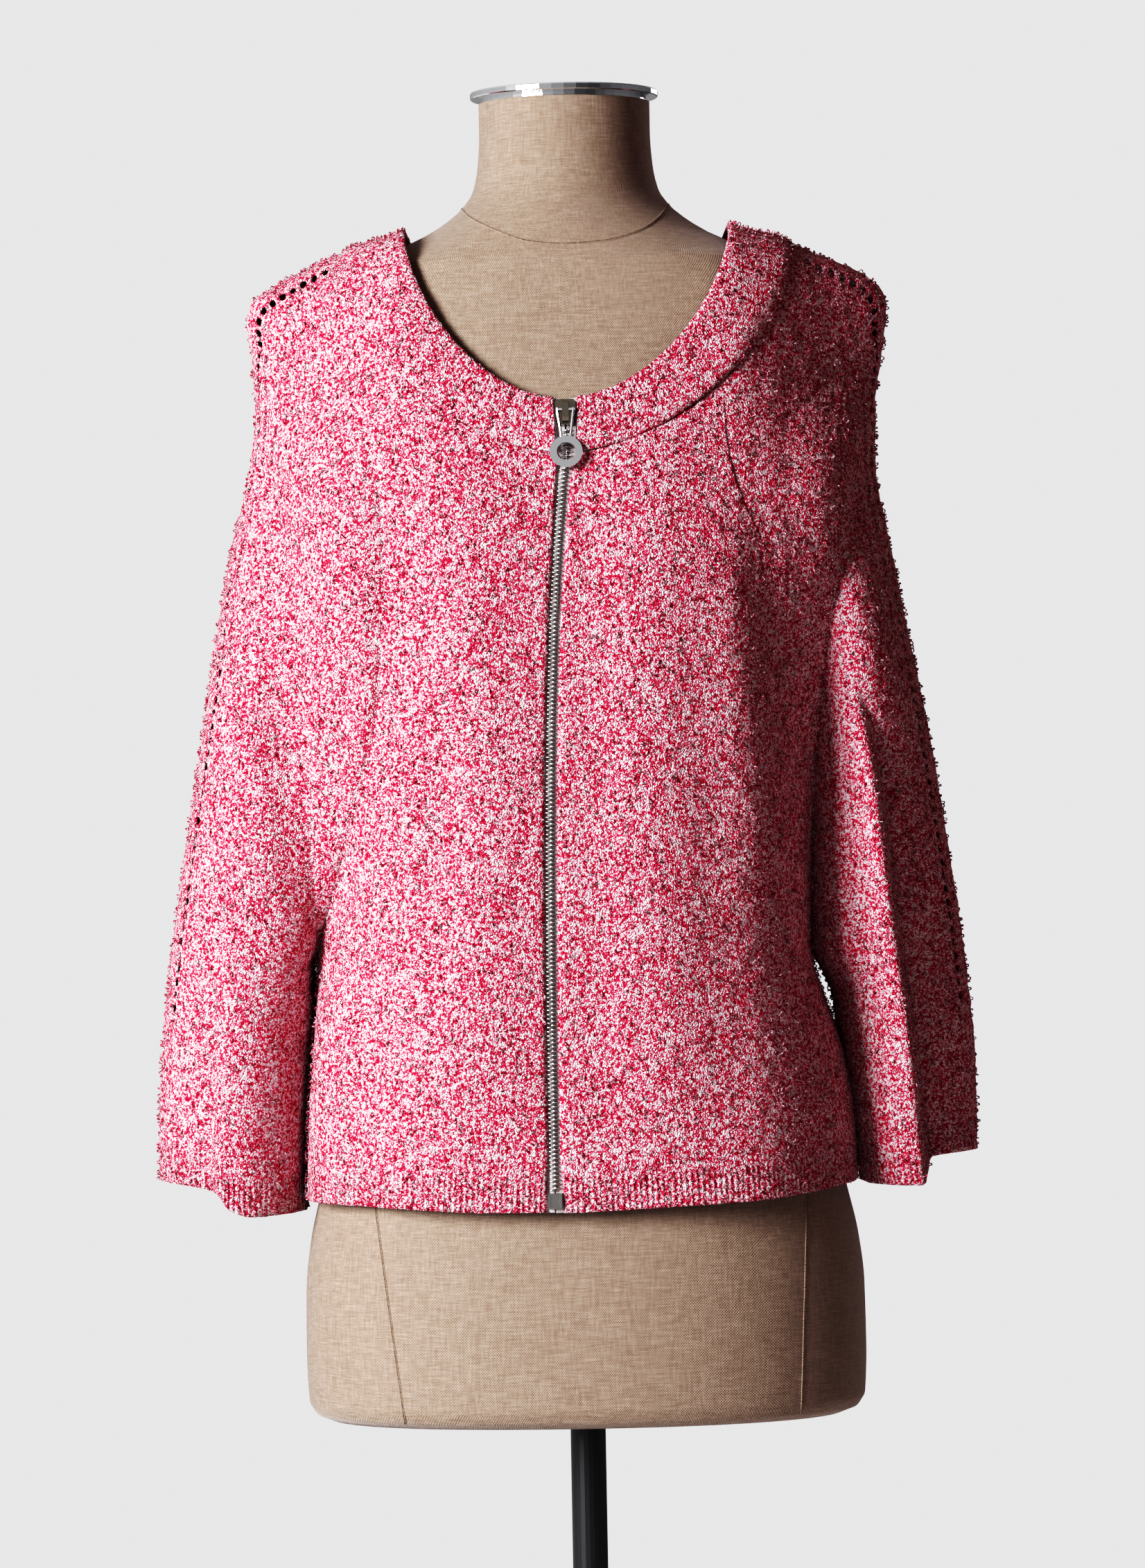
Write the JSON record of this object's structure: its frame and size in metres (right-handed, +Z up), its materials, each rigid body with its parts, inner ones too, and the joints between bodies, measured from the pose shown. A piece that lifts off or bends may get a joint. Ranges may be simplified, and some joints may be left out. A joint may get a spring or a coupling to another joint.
{
  "type": "knit zip cardigan on dress form with stand",
  "caption": "Cropped bouclé knit cardigan with dolman sleeves, eyelet seams and a front zip, on a limbless linen dress form with a pole and round plate.",
  "frame": {"origin": "centre of the base plate's underside", "axes": "+Z up along the pole; the cardigan's front faces -Y; +X is the wearer's left"},
  "size_m": [0.5136, 0.32, 1.4879],
  "materials": {
    "knit": "pink, red and white marled bouclé with a metallic thread",
    "zip_tape": "woven pale grey tape",
    "zip_teeth": "silvery teeth",
    "zip_metal": "dark nickel",
    "pull_metal": "polished nickel",
    "linen": "natural linen weave, stretched smooth",
    "chrome": "polished",
    "black_steel": "black satin paint"
  },
  "bodies": {
    "root": {"front_right": "knit", "front_left": "knit", "back": "knit", "neckband_right": "knit", "neckband_left": "knit", "neckband_back": "knit", "zip_tape_right": "zip_tape", "zip_tape_left": "zip_tape", "zip_chain": "zip_teeth", "zip_box": "zip_metal", "zip_slider": "zip_metal", "form_torso": "linen", "neck_cap": "chrome", "pole": "black_steel", "pole_collar": "black_steel", "base_plate": "black_steel"},
    "pull": {"zip_pull": "pull_metal"}
  },
  "joints": [
    {"name": "pull_flip", "type": "hinge", "parent": "root", "child": "pull", "pos_m": [-0.00264, -0.11203, 1.28121], "axis": [-1, -0.0009, -0.0038], "range_deg": [0, 150]}
  ]
}
